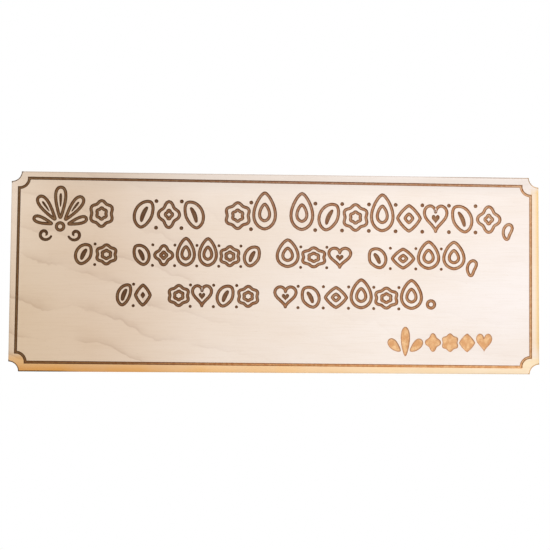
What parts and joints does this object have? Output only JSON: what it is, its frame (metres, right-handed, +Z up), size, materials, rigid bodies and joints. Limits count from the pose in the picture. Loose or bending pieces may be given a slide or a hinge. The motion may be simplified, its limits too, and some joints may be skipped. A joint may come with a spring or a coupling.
{
  "type": "wooden plaque",
  "caption": "Rectangular engraved maple plywood wall plaque with notched corners, a border groove, botanical ornament and a sawtooth hanger behind.",
  "frame": {"origin": "the hanging point: the wall plane behind the apex of the middle notch of the sawtooth hanger", "axes": "+X to the right of a person facing the plaque, +Y out of its back into the wall, +Z up; the engraved face looks towards -Y"},
  "size_m": [0.3048, 0.0148, 0.1143],
  "materials": {
    "maple_face": "pale maple veneer, satin clear coat, engraving toasted brown",
    "maple_back": "pale maple veneer, sanded, uncoated",
    "core_along_grain": "plywood core edge, long grain, laser-browned",
    "core_across_grain": "plywood core edge, end grain, laser-browned",
    "zinc_plated_steel": "zinc plated sheet",
    "nail_steel": "bright drawn wire",
    "black_rubber": "matt moulded rubber"
  },
  "bodies": {
    "root": {"face_veneer": "maple_face", "core_ply_1": "core_across_grain", "core_ply_2": "core_along_grain", "core_ply_3": "core_across_grain", "core_ply_4": "core_along_grain", "core_ply_5": "core_across_grain", "back_veneer": "maple_back", "sawtooth_hanger": "zinc_plated_steel", "hanger_nail_left": "nail_steel", "hanger_nail_right": "nail_steel", "bumper_left": "black_rubber", "bumper_right": "black_rubber"}
  },
  "joints": []
}
